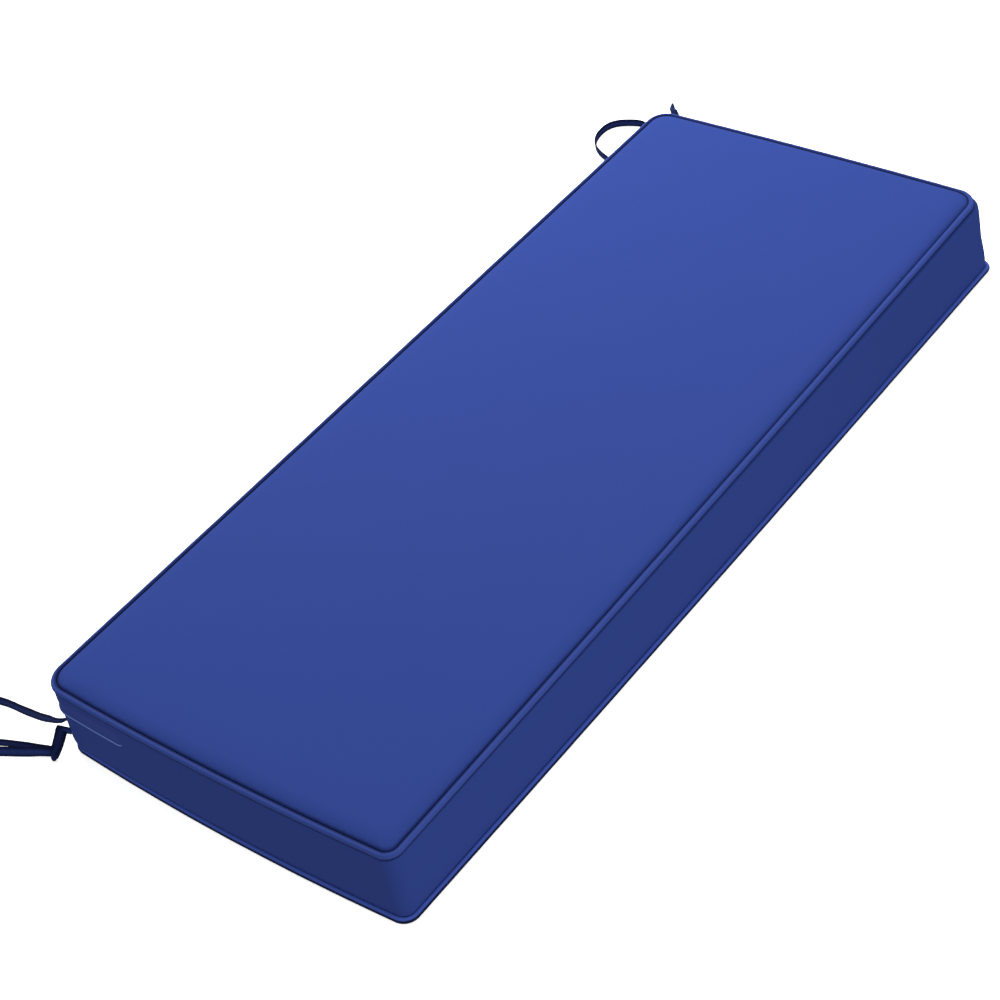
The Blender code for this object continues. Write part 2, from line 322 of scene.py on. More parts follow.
class TieSizes(bpy.types.PropertyGroup):
    """Sizes of the tape that the ties are sewn from, in metres."""

    width: FloatProperty(name="Width", description="Width of the tape", default=0.012, unit="LENGTH")
    thickness: FloatProperty(
        name="Thickness", description="Thickness of the folded tape", default=0.0018, unit="LENGTH"
    )
    edge: FloatProperty(
        name="Edge", description="From the middle to a row of stitches", default=0.0046, unit="LENGTH"
    )
    stitch: FloatProperty(name="Stitch", description="Length of a stitch", default=0.003, unit="LENGTH")


class Finishes(bpy.types.PropertyGroup):
    """Colours of the cloth, the tape and the floor, as linear values."""

    cloth: FloatVectorProperty(
        name="Cloth",
        description="Cover and piping",
        default=(0.0242, 0.0475, 0.221),
        size=3,
        subtype="COLOR",
    )
    tape: FloatVectorProperty(
        name="Tape",
        description="Middle of the ties",
        default=(0.018, 0.033, 0.150),
        size=3,
        subtype="COLOR",
    )
    # Painted shade at the tape's stitched edges, and the thread's own colour
    edge_shade_and_thread: FloatVectorProperty(
        name="Tape edge",
        description="Edges and thread",
        default=(0.003, 0.006, 0.030),
        size=3,
        subtype="COLOR",
    )
    floor: FloatVectorProperty(
        name="Floor",
        description="Floor of the stage",
        default=(0.95, 0.95, 0.95),
        size=3,
        subtype="COLOR",
    )
    weave: FloatProperty(
        name="Weave", description="Distance between two threads", default=0.00055, unit="LENGTH"
    )


class StageSettings(bpy.types.PropertyGroup):
    """Camera and lights of the plain studio."""

    azimuth: FloatProperty(
        name="Azimuth", description="Camera's turn round Z", default=math.radians(-44.435), subtype="ANGLE"
    )
    elevation: FloatProperty(
        name="Elevation", description="Above the horizon", default=math.radians(41.35), subtype="ANGLE"
    )
    roll: FloatProperty(
        name="Roll", description="Camera's roll", default=math.radians(-12.66), subtype="ANGLE"
    )
    distance: FloatProperty(
        name="Distance", description="From the camera to its target", default=2.7274, unit="LENGTH"
    )
    target: FloatVectorProperty(
        name="Target", description="Point looked at", default=(-0.0852, 0.0180, 0.0508), size=3
    )
    lens: FloatProperty(name="Lens", description="Focal length in mm on a 36 mm sensor", default=82.42)
    key_power: FloatProperty(name="Key", description="Power of the soft light behind", default=60.0)
    end_power: FloatProperty(name="End", description="Power of the light over the right end", default=16.0)
    front_power: FloatProperty(name="Front", description="Power of the low light in front", default=19.5)
    sky: FloatProperty(name="Sky", description="Strength of the even light from above", default=0.69)
    ground: FloatProperty(name="Ground", description="Strength of the even light from below", default=0.63)
    floor_glow: FloatProperty(name="Floor glow", description="Light of the floor itself", default=0.6)


# ---------------------------------------------------------------------------------------------
# Curves and surfaces


def mix(low, high, share):
    """Straight mix of low and high: low plus their difference times share."""
    return low + (high - low) * share


def cubic_through(knots, values, places):
    """Natural cubic through values at knots, read at places.

    Between two knots the curve is the straight mix of their values plus the cubic bend terms
    (a^3 - a) * bend * gap^2 / 6 from either side, with the bends solved so that slopes agree.
    """
    gaps = np.diff(knots)[:, None]
    slopes = np.diff(values, axis=0) / gaps
    inner = gaps[1:-1, 0]
    system = np.diag(2 * (gaps[:-1, 0] + gaps[1:, 0])) + np.diag(inner, 1) + np.diag(inner, -1)
    bend = np.zeros_like(values)
    bend[1:-1] = np.linalg.solve(system, 6 * np.diff(slopes, axis=0))
    cell = np.clip(np.searchsorted(knots, places) - 1, 0, len(knots) - 2)
    gap = gaps[cell]
    before = (knots[cell + 1] - places)[:, None] / gap
    after = 1 - before
    curve = before * values[cell] + after * values[cell + 1]
    return curve + ((before**3 - before) * bend[cell] + (after**3 - after) * bend[cell + 1]) * gap**2 / 6


def travelled(points):
    """Distance from the first point to each point along the line through them."""
    return np.concatenate(([0.0], np.cumsum(np.linalg.norm(np.diff(points, axis=0), axis=1))))


def even_route(route, step):
    """Evenly spaced points along the natural cubic through a route given in millimetres."""
    places = np.array(route, float) * MM
    chord = travelled(places)
    curve = cubic_through(chord, places, np.linspace(0, chord[-1], 40 * len(places)))
    along = travelled(curve)
    stops = np.linspace(0, along[-1], max(4, round(along[-1] / step) + 1))
    return np.stack([np.interp(stops, along, curve[:, axis]) for axis in range(3)], axis=1)


def corner_at(corner, share, inset, swell_shares, sizes):
    """A corner of the outline in each section: its x, y rows and its radii."""
    _, x_side, y_side, top_dx, top_dy, top_radius, low_dx, low_dy, low_radius, *swells = corner
    out = swell_shares @ np.array(swells) * MM - inset
    x = x_side * (sizes.length / 2 + out) + mix(low_dx, top_dx, share) * MM
    y = y_side * (sizes.width / 2 + out) + mix(low_dy, top_dy, share) * MM
    softened = SOFTENING * np.maximum(0.0, inset - SOFTENING_START)
    radius = mix(low_radius, top_radius, share) * MM - inset + softened
    return np.stack((x, y), axis=-1), np.minimum(radius, (sizes.width / 2 - inset) * WIDEST_CORNER)


def outlines(share, inset, swell_shares, steps, sizes):
    """Plan outlines of the sections, an array of sections by points by x, y.

    Each side is the chord between its two corner arcs plus a bow of (1 - place^2) times its
    outward direction; each corner is a quarter turn, from one side's direction to the next.
    """
    parts = []
    for index, (_, out_x, out_y, top_bow, low_bow) in enumerate(SIDES):
        start, start_radius = corner_at(CORNERS[index], share, inset, swell_shares, sizes)
        end, end_radius = corner_at(CORNERS[(index + 1) % 4], share, inset, swell_shares, sizes)
        after, _ = corner_at(CORNERS[(index + 2) % 4], share, inset, swell_shares, sizes)
        along = (end - start) / np.linalg.norm(end - start, axis=-1, keepdims=True)
        onward = (after - end) / np.linalg.norm(after - end, axis=-1, keepdims=True)
        first = start + along * start_radius[:, None]
        last = end - along * end_radius[:, None]
        count = steps["long"] if out_x == 0 else steps["short"]
        place = np.linspace(-1, 1, count + 1)[None, :, None]
        bow = (mix(low_bow, top_bow, share) * MM)[:, None, None] * (1 - place**2)
        chord = ((first + last) / 2)[:, None] + place * ((last - first) / 2)[:, None]
        parts.append(chord + bow * np.array((out_x, out_y)))
        turn = np.linspace(0, math.pi / 2, steps["corner"] + 1)[1:-1][None, :, None]
        radius = end_radius[:, None, None]
        middle = end[:, None] + radius * (onward - along)[:, None]
        parts.append(middle + radius * (along[:, None] * np.sin(turn) - onward[:, None] * np.cos(turn)))
    return np.concatenate(parts, axis=1)


def seam_line(share, inset, steps, sizes):
    """One closed outline at a share of the height, as x, y rows."""
    ones = np.ones(1)
    return outlines(ones * share, ones * inset, np.zeros((1, 2)), steps, sizes)[0]


def grid_quads(rows, columns, closed_rows=False, closed_columns=False):
    """Corner numbers of the quads of a grid whose points are numbered row by row."""
    down = np.arange(rows if closed_rows else rows - 1)[:, None]
    across = np.arange(columns if closed_columns else columns - 1)[None, :]
    below, right = (down + 1) % rows, (across + 1) % columns
    corners = (
        down * columns + across,
        down * columns + right,
        below * columns + right,
        below * columns + across,
    )
    return np.stack(np.broadcast_arrays(*corners), -1)


def corner_pairs(u, v):
    """UV pairs for the corners of a grid's quads: u belongs to its rows and v to its columns."""
    u, v = np.asarray(u)[:, None], np.asarray(v)[None, :]
    corners = ((u[:-1], v[:, :-1]), (u[:-1], v[:, 1:]), (u[1:], v[:, 1:]), (u[1:], v[:, :-1]))
    return np.stack([np.stack(np.broadcast_arrays(*pair), -1) for pair in corners], -2).reshape(-1, 2)


def make_mesh(name, points, quads, finish, extra_faces=(), uv=None):
    """A smooth-shaded mesh object at the origin; uv maps a name to one pair for every corner."""
    mesh = bpy.data.meshes.new(name)
    faces = quads.reshape(-1, 4).tolist() + [list(face) for face in extra_faces]
    mesh.from_pydata(points.reshape(-1, 3).tolist(), [], faces)
    mesh.shade_smooth()
    for layer, pairs in (uv or {}).items():
        mesh.uv_layers.new(name=layer).data.foreach_set("uv", pairs.astype(np.float32).ravel())
    mesh.materials.append(finish)
    piece = bpy.data.objects.new(name, mesh)
    bpy.context.scene.collection.objects.link(piece)
    return piece


def close_outwards(piece):
    """Merges doubled points and turns every face of a closed piece outwards."""
    shell = bmesh.new()
    shell.from_mesh(piece.data)
    bmesh.ops.remove_doubles(shell, verts=shell.verts, dist=1e-6)
    bmesh.ops.recalc_face_normals(shell, faces=shell.faces)
    shell.to_mesh(piece.data)
    shell.free()
    return piece


def turned_about(vectors, axes, angles):
    """Vectors turned about unit axes by angles: v cos a + (axis x v) sin a for v square to axis."""
    return vectors * np.cos(angles)[:, None] + np.cross(axes, vectors) * np.sin(angles)[:, None]


def path_frame(path, closed=False):
    """Unit tangents of a path, with the upright and the sideways direction square to them."""
    if closed:
        tangent = np.roll(path, -1, axis=0) - np.roll(path, 1, axis=0)
    else:
        tangent = np.gradient(path, axis=0)
    tangent /= np.linalg.norm(tangent, axis=1, keepdims=True)
    upright = UP - tangent * tangent[:, 2:]
    upright /= np.linalg.norm(upright, axis=1, keepdims=True)
    return tangent, upright, np.cross(tangent, upright)


def ripple(places, wave_lengths, seed):
    """Sum of sines of the given wave lengths with seeded phases, between about -1 and 1."""
    phases = np.random.default_rng(seed).uniform(0, 2 * math.pi, len(wave_lengths))
    waves = [np.sin(2 * math.pi * places / w + p) for w, p in zip(wave_lengths, phases)]
    return np.sum(waves, axis=0) / len(wave_lengths)


# ---------------------------------------------------------------------------------------------
# Finishes


FINISH = "_finish"  # ending of the materials' names
MIX_COLOUR_INPUTS = (0, 6, 7)  # numbers of a Mix node's share and its two colours
MIX_COLOUR_OUTPUT = 2
SEAM_STITCH = 0.0044  # length of a stitch in the cushion's seams
WEAVE_RELIEF = 0.00003  # how far a thread stands up
# Painted shade in the creases of the cover, round the piping and under the flap's fold
CREASE_SHADE_SHARE = 0.84  # of the cloth's colour that the painted crease shade takes over
DEEP_SHADE_SHARE = 0.9  # the same for the darkest painted shade on the piping
CREASE_SHADE_TINT = (0.75, 0.8, 1.0)
CREASE_SHADE = 0.3  # lightness of the painted shade in a crease of the cover
PIPING_CREASE_SHADE = 0.32
PIPING_DEEP_SHADE = 0.1
PIPING_TINT = (1.20, 1.12, 1.04)  # of the piping's cloth against the cover's, greyer, for red, green and blue
FOLD_HIGHLIGHT_TINT = (7.5, 5.8, 3.0)
SHADE_EASED_ALONG = (0.6, -0.8)  # X where the painted crease shade on the front is weakest, and where it is full again
SHADE_EASED_ACROSS = (-0.236, -0.2)  # Y between which only the front side counts
SHADE_EASING = 0.6
# Distances from the end of a groove: above 0 on the panels, below 0 on the boxing
CREASE_SHADE_ENDS = (0.0045, -0.0034)  # where the painted crease shade is gone
STITCH_LINE = (-0.0017, 0.0014)  # its middle and its reach
PUCKERS_FADE = ((0.002, 0.011), (0.0, -0.006))
# Heights over the flap's fold: the middle and reach of the painted highlight along it, and where the
# painted shade under it is full and where it is gone
FOLD_HIGHLIGHT_LINE = (0.0006, 0.0013)
FLAP_UNDERSIDE_SHADE = (-0.0003, 0.0001)


class Socket:
    """A socket of a node tree; Python's operators on it add Math nodes."""

    def __init__(self, finish, socket):
        self.finish = finish
        self.socket = socket

    def _math(self, operation, first, second):
        """A Math node's output; first or second may be a socket or a number."""
        return self.finish.node("ShaderNodeMath", {"operation": operation}, {0: first, 1: second})

    def __add__(self, other):
        return self._math("ADD", self, other)

    def __sub__(self, other):
        return self._math("SUBTRACT", self, other)

    def __rsub__(self, other):
        return self._math("SUBTRACT", other, self)

    def __mul__(self, other):
        return self._math("MULTIPLY", self, other)

    __radd__ = __add__
    __rmul__ = __mul__


class Nodes:
    """A node tree whose nodes are all made by one method."""

    def __init__(self, tree):
        self.tree = tree

    def node(self, kind, settings=None, sockets=None, output=0):
        """Adds a node, sets it up, fills its sockets with values or links, and gives an output."""
        made = self.tree.nodes.new(kind)
        for name, value in (settings or {}).items():
            setattr(made, name, value)
        for name, value in (sockets or {}).items():
            if isinstance(value, Socket):
                self.tree.links.new(value.socket, made.inputs[name])
            else:
                made.inputs[name].default_value = value
        return Socket(self, made.outputs[output])


class Finish(Nodes):
    """A material's node tree with one Principled shader."""

    def __init__(self, name, **constants):
        self.material = bpy.data.materials.new(name + FINISH)
        self.material.use_nodes = True
        super().__init__(self.material.node_tree)
        self.shader = self.tree.nodes["Principled BSDF"]
        for socket, value in constants.items():
            self.shader.inputs[socket.replace("_", " ")].default_value = value

    def link(self, name, value):
        """Feeds one of the shader's inputs from a socket."""
        self.tree.links.new(value.socket, self.shader.inputs[name])

    def place(self):
        """The place on the object, in metres."""
        return self.node("ShaderNodeTexCoord", output="Object")

    def uv(self, layer):
        """The U and V of a UV map, in metres."""
        pair = self.node("ShaderNodeUVMap", {"uv_map": layer})
        u = self.node("ShaderNodeSeparateXYZ", sockets={0: pair}, output="X")
        v = self.node("ShaderNodeSeparateXYZ", sockets={0: pair}, output="Y")
        return u, v

    def noise(self, size, detail=2.0):
        """Noise between 0 and 1 whose lumps are about size metres across."""
        sockets = {"Vector": self.place(), "Scale": 1 / size, "Detail": detail}
        return self.node("ShaderNodeTexNoise", sockets=sockets, output="Fac")

    def wave(self, value, length):
        """Sine of a value in metres, with the given wave length."""
        turns = value * (2 * math.pi / length)
        return self.node("ShaderNodeMath", {"operation": "SINE"}, {0: turns})

    def fade(self, value, full, none):
        """1 where value is at full or past it, falling smoothly to 0 at none."""
        sockets = {"Value": value, "From Min": full, "From Max": none, "To Min": 1.0, "To Max": 0.0}
        return self.node("ShaderNodeMapRange", {"interpolation_type": "SMOOTHSTEP"}, sockets)

    def near(self, value, middle, reach):
        """1 where value is at middle, falling smoothly to 0 at reach from it."""
        off = self.node("ShaderNodeMath", {"operation": "ABSOLUTE"}, {0: value - middle})
        return self.fade(off, 0.0, reach)

    def crease_shade_strength(self):
        """Strength of the painted crease shade: 1, falling to 0.4 at the right of the front side."""
        x = self.node("ShaderNodeSeparateXYZ", sockets={0: self.place()}, output="X")
        y = self.node("ShaderNodeSeparateXYZ", sockets={0: self.place()}, output="Y")
        return 1.0 - self.fade(x, *SHADE_EASED_ALONG) * self.fade(y, *SHADE_EASED_ACROSS) * SHADE_EASING

    def streaks(self, along, across, size, stretch):
        """Noise between 0 and 1, size metres wide along a seam and drawn out across it."""
        place = self.node("ShaderNodeCombineXYZ", sockets={0: along, 1: across * (1 / stretch)})
        sockets = {"Vector": place, "Scale": 1 / size, "Detail": 1.0}
        return self.node("ShaderNodeTexNoise", sockets=sockets, output="Fac")

    def blend(self, share, low, high):
        """Mix of two colours, each a colour or a socket."""
        sockets = dict(zip(MIX_COLOUR_INPUTS, (share, low, high)))
        return self.node("ShaderNodeMix", {"data_type": "RGBA"}, sockets, MIX_COLOUR_OUTPUT)

    def bump(self, height, distance, strength=1.0, normal=None):
        """Normal of a height times distance in metres, laid over another normal if one is given."""
        sockets = {"Height": height, "Distance": distance, "Strength": strength}
        if normal is not None:
            sockets["Normal"] = normal
        return self.node("ShaderNodeBump", sockets=sockets)


def tint(colour, factor):
    """A colour made lighter or darker, as RGBA."""
    return (*(c * factor for c in colour), 1.0)


def weave_of(finish, u, v, pitch):
    """Plain weave: sines of warp and weft, whose product is high where the warp lies on top."""
    return finish.wave(u, 2 * pitch) * finish.wave(v, 2 * pitch)


def woven(finish, weave, settings, low, high):
    """The cloth's colour: faintly mottled between two tints, darker in the hollows of the weave."""
    mottling = finish.noise(0.09) * 0.6 + finish.noise(0.004, 4.0) * 0.4
    plain = finish.blend(mottling, tint(settings.cloth, low), tint(settings.cloth, high))
    return finish.blend(weave * 0.5 + 0.5, tint(settings.cloth, 0.97 * low), plain)


def crease_shade_colour(settings, factor):
    """Colour of the painted shade in creases: the cloth darker, and bluer because it lights itself."""
    return tint([part * share for part, share in zip(settings.cloth, CREASE_SHADE_TINT)], factor)


def cover_finish(settings):
    """Matt woven polyester with painted shade in the creases, puckered by the stitches along the seams.

    The seam map's U runs along the seam, and its V is the distance from where the cloth leaves the
    piping, above 0 on the panels and below 0 on the boxing.
    """
    made = Finish("cover_cloth", Roughness=0.9, Specular_IOR_Level=0.05)
    u, v = made.uv("cloth")
    along, beyond = made.uv("seam")
    weave = weave_of(made, u, v, settings.weave)
    cloth = woven(made, weave, settings, 0.955, 1.045)
    # Painted crease shade: full where the cloth leaves the piping, gone over an uneven width along the
    # seam
    uneven = made.streaks(along, beyond, 0.006, 2.5) * 0.5 + 0.75
    far = beyond * uneven
    crease_shade = made.fade(far, 0.0, CREASE_SHADE_ENDS[0]) * made.fade(far, 0.0, CREASE_SHADE_ENDS[1])
    crease_shade = crease_shade * made.crease_shade_strength() * CREASE_SHADE_SHARE
    made.link("Base Color", made.blend(crease_shade, cloth, crease_shade_colour(settings, CREASE_SHADE)))
    stitches = made.wave(along, SEAM_STITCH) * made.near(beyond, *STITCH_LINE)
    puckers = made.streaks(along, beyond, 0.0045, 4.0) * made.fade(beyond, *PUCKERS_FADE[0])
    puckers = puckers * made.fade(beyond, *PUCKERS_FADE[1])
    fine = made.bump(weave, WEAVE_RELIEF, 0.6)
    soft = made.bump(made.noise(0.010, 1.0), 0.0006, 0.2, fine)
    creased = made.bump(puckers, 0.0010, 0.7, soft)
    made.link("Normal", made.bump(stitches, 0.0004, 0.8, creased))
    return made.material


def flap_finish(settings):
    """The cover's cloth on the zip flap, with a painted highlight along its fold and painted shade under
    it.
    """
    made = Finish("flap_cloth", Roughness=0.85, Specular_IOR_Level=0.1)
    along, above = made.uv("cloth")
    weave = weave_of(made, along, above, settings.weave)
    cloth = woven(made, weave, settings, 0.955, 1.045)
    # Painted highlight along the flap's fold, in pale streaks
    fold_highlight = made.near(above, *FOLD_HIGHLIGHT_LINE) * (made.streaks(along, above, 0.004, 1.0) * 0.4 + 0.7)
    pale = tint([part * share for part, share in zip(settings.cloth, FOLD_HIGHLIGHT_TINT)], 1.0)
    cloth = made.blend(fold_highlight, cloth, pale)
    # Painted shade under the fold
    under = made.fade(above, *FLAP_UNDERSIDE_SHADE)
    made.link("Base Color", made.blend(under, cloth, crease_shade_colour(settings, CREASE_SHADE)))
    made.link("Normal", made.bump(weave, WEAVE_RELIEF, 0.6))
    return made.material


PIPING_SHADES = {
    # name: lightness against the cover's cloth, as painted light strongest on the bottom cord for its lit
    # band, then pairs of degrees round the cord where painted shade is full and where it is gone: the
    # darkest painted shade (the top cord's inner side, the bottom cord's outer side and underside), the
    # inner seam and the outer side
    "top_piping": (1.12, (30, 62), (72, 104), (202, 172)),
    "bottom_piping": (1.85, (158, 138), (58, 82), (150, 126)),
}


def piping_finish(name, settings, radius):
    """The same cloth cut on the bias round a cord: greyer than the cover, lighter as painted light, and
    darker in the seam and on its underside as painted shade.

    The cloth map's V goes round the cord from its inner side, over the top, to its outer side.
    """
    lightness_with_painted_light, *shades = PIPING_SHADES[name]
    made = Finish(name, Roughness=0.75, Specular_IOR_Level=0.05)
    along, across = made.uv("cloth")
    weave = weave_of(made, along + across, along - across, settings.weave)
    # Lightness over the cover's cloth is painted light, strongest on the bottom cord for its lit band; the
    # tint makes it greyer
    piping_lit_tone = [part * share * lightness_with_painted_light for part, share in zip(settings.cloth, PIPING_TINT)]
    mottling = made.noise(0.03) * 0.6 + made.noise(0.003, 4.0) * 0.4
    plain = made.blend(mottling, tint(piping_lit_tone, 0.94), tint(piping_lit_tone, 1.1))
    cloth = made.blend(weave * 0.5 + 0.5, tint(piping_lit_tone, 0.93), plain)
    # Painted shade round the cord: its darkest part, the inner seam and the outer side
    places = [[math.radians(angle) * radius for angle in pair] for pair in shades]
    deep, inner, outer = (made.fade(across, *pair) for pair in places)
    crease_shade = (inner + outer) * made.crease_shade_strength() * CREASE_SHADE_SHARE
    creased = made.blend(crease_shade, cloth, crease_shade_colour(settings, PIPING_CREASE_SHADE))
    made.link("Base Color", made.blend(deep * DEEP_SHADE_SHARE, creased, crease_shade_colour(settings, PIPING_DEEP_SHADE)))
    made.link("Normal", made.bump(weave, WEAVE_RELIEF, 0.6))
    return made.material


def tape_finish(name, settings, half_width, shade):
    """Folded tape: lighter across its middle, near black painted shade at its stitched edges, ribbed
    along; shade darkens all of it as painted shade.
    """
    made = Finish(name, Roughness=0.85, Specular_IOR_Level=0.06)
    along, across = made.uv("cloth")
    weave = weave_of(made, along, across, settings.weave * 0.8)
    # Painted shade: the edges go near black, and shade darkens the whole tape (half on the knots)
    middle = made.near(across, 0.0, half_width)
    mottling = made.noise(0.006, 3.0)
    plain = made.blend(mottling, tint(settings.tape, 0.8 * shade), tint(settings.tape, 1.25 * shade))
    dark = made.blend(weave * 0.5 + 0.5, tint(settings.tape, 0.75 * shade), plain)
    made.link("Base Color", made.blend(middle, tint(settings.edge_shade_and_thread, 1.0), dark))
    made.link("Normal", made.bump(weave, 0.00004, 0.8))
    return made.material


def thread_finish(settings):
    """Sewing thread, darker than the tape, with a slight twist along it."""
    made = Finish("sewing_thread", Roughness=0.7, Specular_IOR_Level=0.08)
    mottling = made.noise(0.0008, 2.0)
    low, high = (tint(settings.edge_shade_and_thread, factor) for factor in (0.8, 1.8))
    made.link("Base Color", made.blend(mottling, low, high))
    return made.material


def floor_finish(settings):
    """Plain pale studio floor with a barely uneven roughness."""
    glow = bpy.context.scene.cushion_stage.floor_glow
    made = Finish("studio_floor", Specular_IOR_Level=0.2, Emission_Strength=glow)
    low, high = (tint(settings.floor, factor) for factor in (0.995, 1.0))
    made.link("Base Color", made.blend(made.noise(0.5), low, high))
    made.link("Roughness", made.noise(0.2) * 0.05 + 0.9)
    return made.material


def finish_named(name):
    """The finish of that name, made the first time it is asked for."""
    scene = bpy.context.scene
    settings = scene.cushion_finishes
    makers = {
        "cover_cloth": lambda: cover_finish(settings),
        "flap_cloth": lambda: flap_finish(settings),
        "top_piping": lambda: piping_finish(name, settings, scene.cushion_sizes.piping_radius),
        "bottom_piping": lambda: piping_finish(name, settings, scene.cushion_sizes.piping_radius),
        "tie_tape": lambda: tape_finish(name, settings, scene.tie_sizes.width / 2, 1.0),
        # The knots' tape is the tie tape darkened to half as painted shade
        "knot_tape": lambda: tape_finish(name, settings, scene.tie_sizes.width / 2, 0.5),
        "sewing_thread": lambda: thread_finish(settings),
        "studio_floor": lambda: floor_finish(settings),
    }
    return bpy.data.materials.get(name + FINISH) or makers[name]()


# ---------------------------------------------------------------------------------------------
# The cover


def groove_rows(angles, share, seam, count, sizes):
    """Sections round the piping: inset and height go round a circle from first to last angle."""
    turn = np.radians(np.linspace(*angles, count))
    inset = -sizes.groove * np.cos(turn)
    height = seam + sizes.groove * np.sin(turn)
    return np.stack((np.full(count, share), inset, height, np.zeros(count), np.zeros(count)), axis=1)


def groove_ends(sizes):
    """Where the boxing leaves the low and the high groove: share of the height, inset in mm."""
    span = sizes.top_seam - sizes.bottom_seam
    ends = []
    for seam, angle in ((BOTTOM, BOTTOM_GROOVE_ANGLES[1]), (TOP, TOP_GROOVE_ANGLES[0])):
        turn = math.radians(angle)
        rise = sizes.groove * math.sin(turn)
        ends.append((seam + rise / span, -sizes.groove * math.cos(turn) / MM))
    return ends


def boxing_section(shares, sizes):
    """The boxing at shares of the height: inset in metres, and shares of the high and low swell.

    The inset is a natural cubic through its table and the ends of the two grooves. The high swell
    is s^2 and the low one (1 - s)^2, each times 1 - exp(-distance from its own groove).
    """
    low, high = groove_ends(sizes)
    knots = np.array((low, *BOXING_SECTION, high))
    inset = cubic_through(knots[:, 0], knots[:, 1:], shares)[:, 0] * MM
    high_swell = shares**2 * (1 - np.exp(np.minimum(0.0, shares - high[0]) / SWELL_FADE[0]))
    low_swell = (1 - shares) ** 2 * (1 - np.exp(np.minimum(0.0, low[0] - shares) / SWELL_FADE[1]))
    return inset, np.stack((high_swell, low_swell), axis=1)


def cover_rows(sizes):
    """The cover's sections from its base up: share of the height, inset, height, swell shares."""
    base = np.array(BASE_SECTION) * MM
    none = np.zeros(len(base))
    base_rows = np.stack((none, base[:, 0], sizes.bottom_seam + base[:, 1], none, none), axis=1)
    low = groove_rows(BOTTOM_GROOVE_ANGLES, BOTTOM, sizes.bottom_seam, BOTTOM_GROOVE_ROWS, sizes)
    high = groove_rows(TOP_GROOVE_ANGLES, TOP, sizes.top_seam, TOP_GROOVE_ROWS, sizes)
    first, last = (end[0] for end in groove_ends(sizes))
    crowded = (1 - np.cos(np.linspace(0, math.pi, BOXING_ROWS)[1:-1])) / 2
    shares = mix(first, last, crowded)
    drawn, swells = boxing_section(shares, sizes)
    heights = mix(sizes.bottom_seam, sizes.top_seam, shares)
    boxing = np.column_stack((shares, drawn, heights, swells))
    panel = np.array(PANEL_SECTION) * MM
    chord = travelled(panel)
    reach = np.interp(LAST_RING, panel[:, 0], chord)
    stops = reach * np.linspace(0, 1, PANEL_ROWS + 1)[1:] ** PANEL_CROWDING
    rise = cubic_through(chord, panel, stops)
    none = np.zeros(len(stops))
    panel_rows = np.stack((none + TOP, rise[:, 0], sizes.top_seam + rise[:, 1], none, none), axis=1)
    return base_rows, low, boxing, high, panel_rows


def patch(ring, steps):
    """Numbers of a ring's points along the four edges of the grid that fills it, and its counts.

    The grid's corners are the middles of the ring's four corner arcs.
    """
    long_count, short_count = steps["long"] + steps["corner"], steps["short"] + steps["corner"]
    total = 2 * (long_count + short_count)
    start = steps["short"] + steps["corner"] // 2
    front = start + np.arange(long_count + 1)
    right = start + long_count + np.arange(short_count + 1)
    rear = start + long_count + short_count + np.arange(long_count + 1)[::-1]
    left = (start + 2 * long_count + short_count + np.arange(short_count + 1)[::-1]) % total
    return (ring[front % total], ring[right % total], ring[rear % total], ring[left])


def filled(edges):
    """Points of the grid inside four edges, given as front, right, rear, left.

    Each point is the mix of front and rear, plus the mix of left and right, minus the mix of the
    four corners.
    """
    front, right, rear, left = edges
    a = np.linspace(0, 1, len(front))[:, None, None]
    b = np.linspace(0, 1, len(left))[None, :, None]
    crosswise = mix(front[:, None], rear[:, None], b)
    lengthwise = mix(left[None], right[None], a)
    corners = mix(mix(front[0], front[-1], a), mix(rear[0], rear[-1], a), b)
    return crosswise + lengthwise - corners


def cover_surface(steps, sizes):
    """The cover as one closed grid: rings from base to panel, with both ends filled by patches."""
    groups = cover_rows(sizes)
    rows = np.concatenate(groups)
    plan = outlines(rows[:, 0], rows[:, 1], rows[:, 3:], steps, sizes)
    count = plan.shape[1]
    rings = np.concatenate((plan, np.broadcast_to(rows[:, None, 2:3], (*plan.shape[:2], 1))), axis=2)
    points = [rings.reshape(-1, 3)]
    quads = [grid_quads(len(rows), count, closed_columns=True).reshape(-1, 4)]
    numbers = np.arange(len(rows) * count).reshape(len(rows), count)
    for row, flip in ((0, True), (len(rows) - 1, False)):
        inside = filled(patch(rings[row], steps))
        if not flip:
            inside[..., 2] = crown(inside, rings[row])
        edges = patch(numbers[row], steps)
        grid = np.zeros(inside.shape[:2], int)
        inner = inside[1:-1, 1:-1].reshape(-1, 3)
        grid[1:-1, 1:-1] = sum(map(len, points)) + np.arange(len(inner)).reshape(grid[1:-1, 1:-1].shape)
        grid[:, 0], grid[-1], grid[:, -1], grid[0] = edges
        faces = np.stack((grid[:-1, :-1], grid[1:, :-1], grid[1:, 1:], grid[:-1, 1:]), -1).reshape(-1, 4)
        points.append(inner)
        quads.append(faces[:, ::-1] if flip else faces)
    sizes_of_groups = np.cumsum([0] + [len(group) for group in groups])
    return np.concatenate(points), quads, rings, sizes_of_groups


def crown(inside, ring):
    """Height of the panel inside its last ring: a low dome, 1 - y^2 across and 1 - x^6 along."""
    edge = ring[0, 2]
    across = inside[..., 1] / np.abs(ring[:, 1]).max()
    lengthwise = inside[..., 0] / np.abs(ring[:, 0]).max()
    dome = np.clip(1 - across**2, 0, 1) * np.clip(1 - lengthwise**6, 0, 1)
    top = bpy.context.scene.cushion_sizes.top_seam + CROWN_RISE * MM
    return edge + (top - edge) * dome


